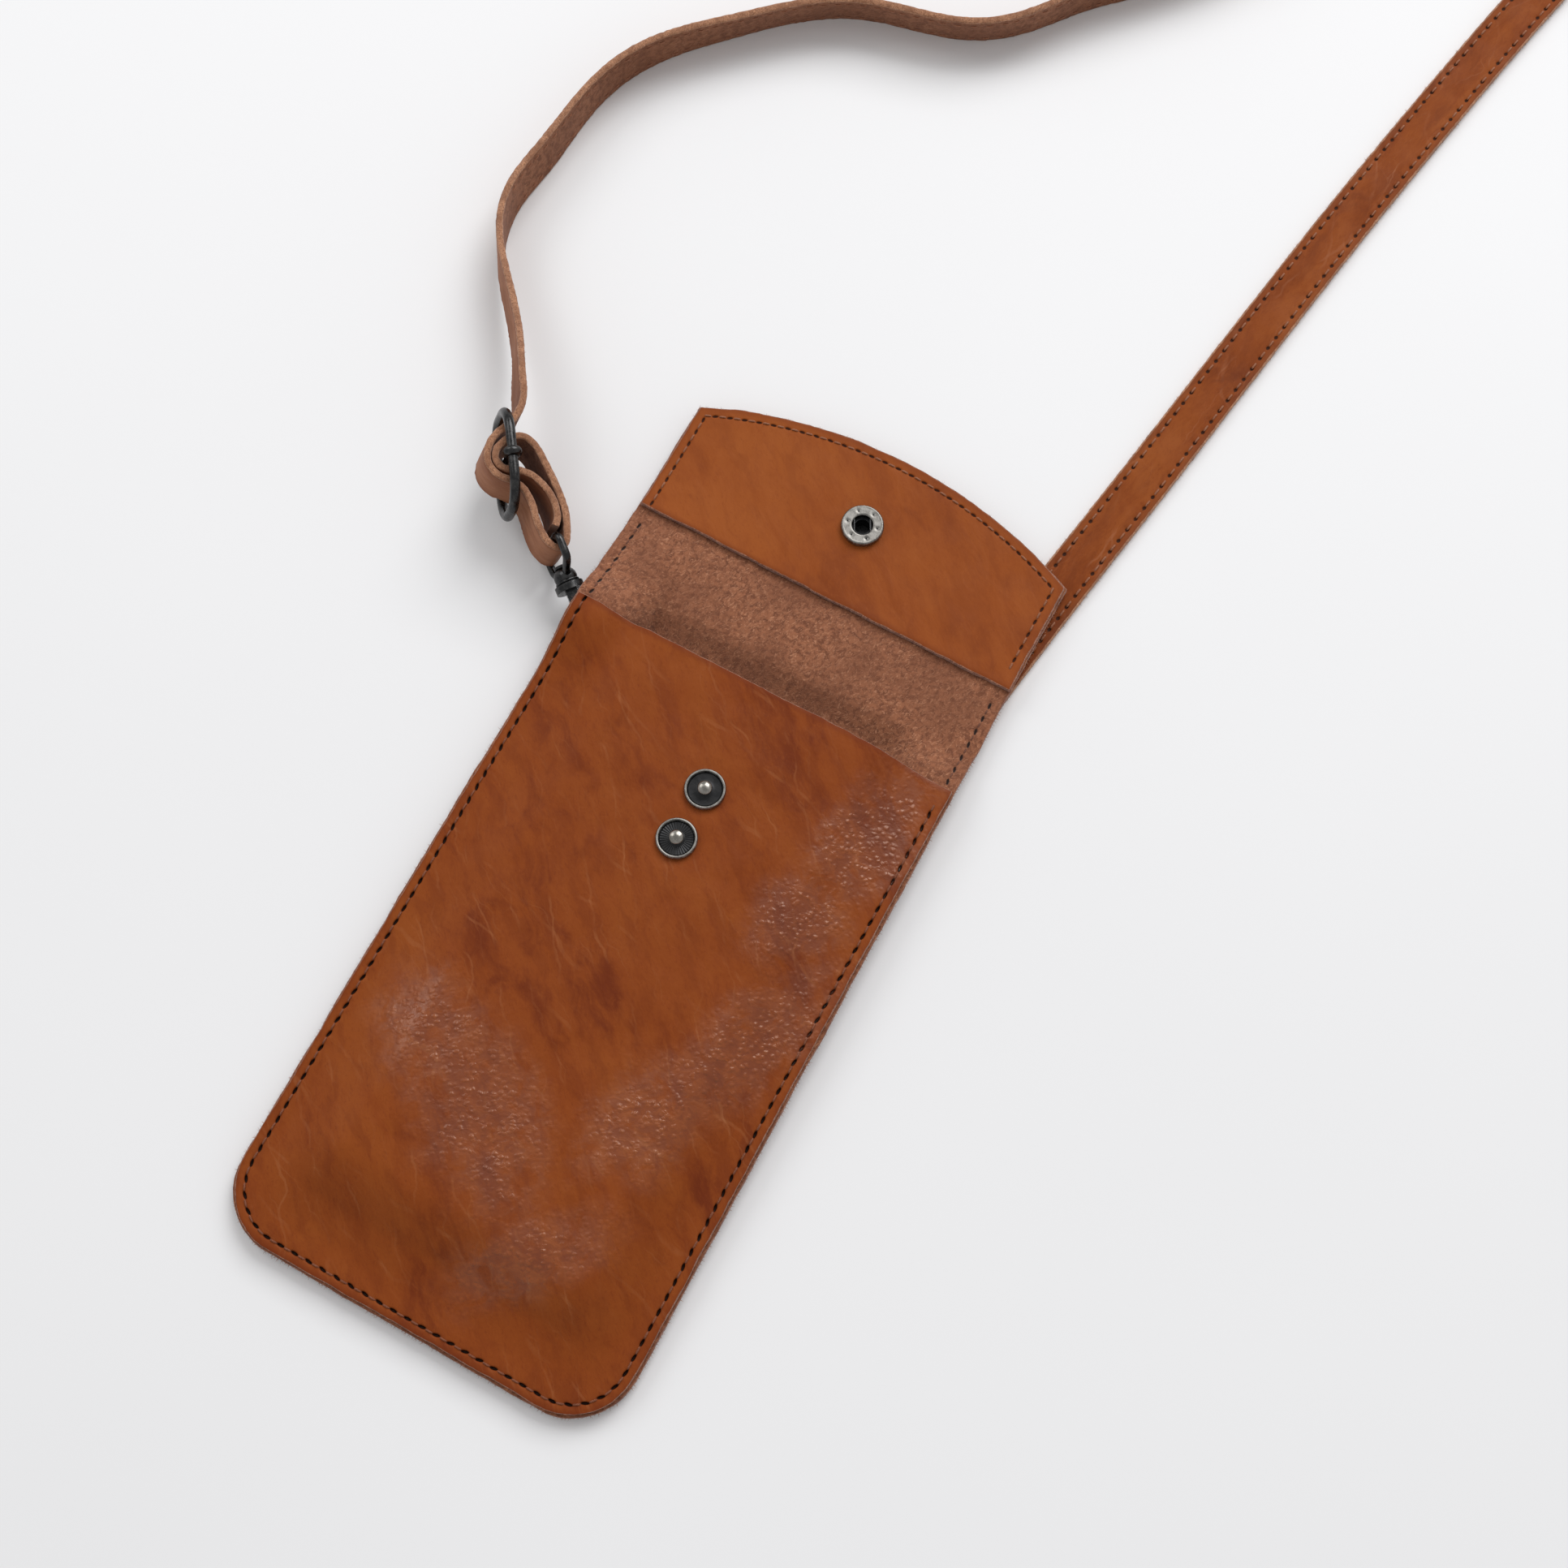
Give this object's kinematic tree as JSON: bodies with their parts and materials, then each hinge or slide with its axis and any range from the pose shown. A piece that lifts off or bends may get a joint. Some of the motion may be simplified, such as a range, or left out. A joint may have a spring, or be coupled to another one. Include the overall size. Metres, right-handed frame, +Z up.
{
  "type": "phone pouch",
  "caption": "Flat stitched leather phone pouch with a fold-over flap, press snap, stud closure and a long crossbody strap held by a slide buckle and a swivel hook.",
  "frame": {"origin": "centre of the pouch's footprint, at the height of the surface it lies on", "axes": "+X across the pouch to its right side, +Y from the bottom of the pocket towards the open flap, +Z up out of the front panel"},
  "size_m": [0.2595, 0.6661, 0.0271],
  "materials": {
    "body_leather": "waxed cognac leather with a fine pebbled grain and darker marks",
    "lining_leather": "smooth orange-tan leather",
    "strap_leather": "tan strap leather with a fuzzy flesh side",
    "thread": "dark reddish brown waxed thread",
    "pale_thread": "light pinkish brown thread",
    "dark_metal": "dark gunmetal plating over a die casting",
    "socket_metal": "antique nickel",
    "spring_steel": "bright spring steel"
  },
  "bodies": {
    "pouch": {"back_panel": "body_leather", "front_panel": "body_leather", "pocket_thread": "thread", "ring_tab": "strap_leather", "tab_thread": "thread", "upper_stud": "dark_metal", "upper_stud_eyelet": "dark_metal", "lower_stud": "dark_metal", "lower_stud_eyelet": "dark_metal", "hook_body": "dark_metal", "gate_pin": "spring_steel", "gate_spring": "spring_steel", "strap": "strap_leather", "strap_thread": "thread"},
    "flap": {"flap_panel": "body_leather", "flap_lining": "lining_leather", "lining_thread": "pale_thread", "snap_cap": "dark_metal", "snap_socket": "socket_metal", "snap_spring": "spring_steel"},
    "ring": {"d_ring": "dark_metal"},
    "gate": {"hook_gate": "dark_metal"},
    "left_end": {"swivel_eye": "dark_metal", "adjuster_loop": "strap_leather"},
    "buckle": {"slide_frame": "dark_metal", "slide_bar": "dark_metal"}
  },
  "joints": [
    {"name": "flap_fold", "type": "hinge", "parent": "pouch", "child": "flap", "pos_m": [0, 0.0655, 0.0113], "axis": [1, 0, 0], "range_deg": [0, 180]},
    {"name": "ring_swing", "type": "hinge", "parent": "pouch", "child": "ring", "pos_m": [-0.04763, 0.04206, 0.0025], "axis": [1, 0, 0], "range_deg": [-2, 2]},
    {"name": "gate_pivot", "type": "hinge", "parent": "pouch", "child": "gate", "pos_m": [-0.05654, 0.05193, 0.00494], "axis": [-0.6157, -0.788, 0], "range_deg": [0, 18], "stiffness_Nm_per_rad": 0.01, "springref_deg": -5.73},
    {"name": "left_swivel", "type": "hinge", "parent": "pouch", "child": "left_end", "pos_m": [-0.0606, 0.0551, 0.0083], "axis": [-0.776, 0.6063, 0.1736], "range_deg": [-30, 30]},
    {"name": "buckle_rock", "type": "hinge", "parent": "left_end", "child": "buckle", "pos_m": [-0.09157, 0.07537, 0.01564], "axis": [0.2915, 0.1007, 0.9513], "range_deg": [-3, 3]}
  ]
}
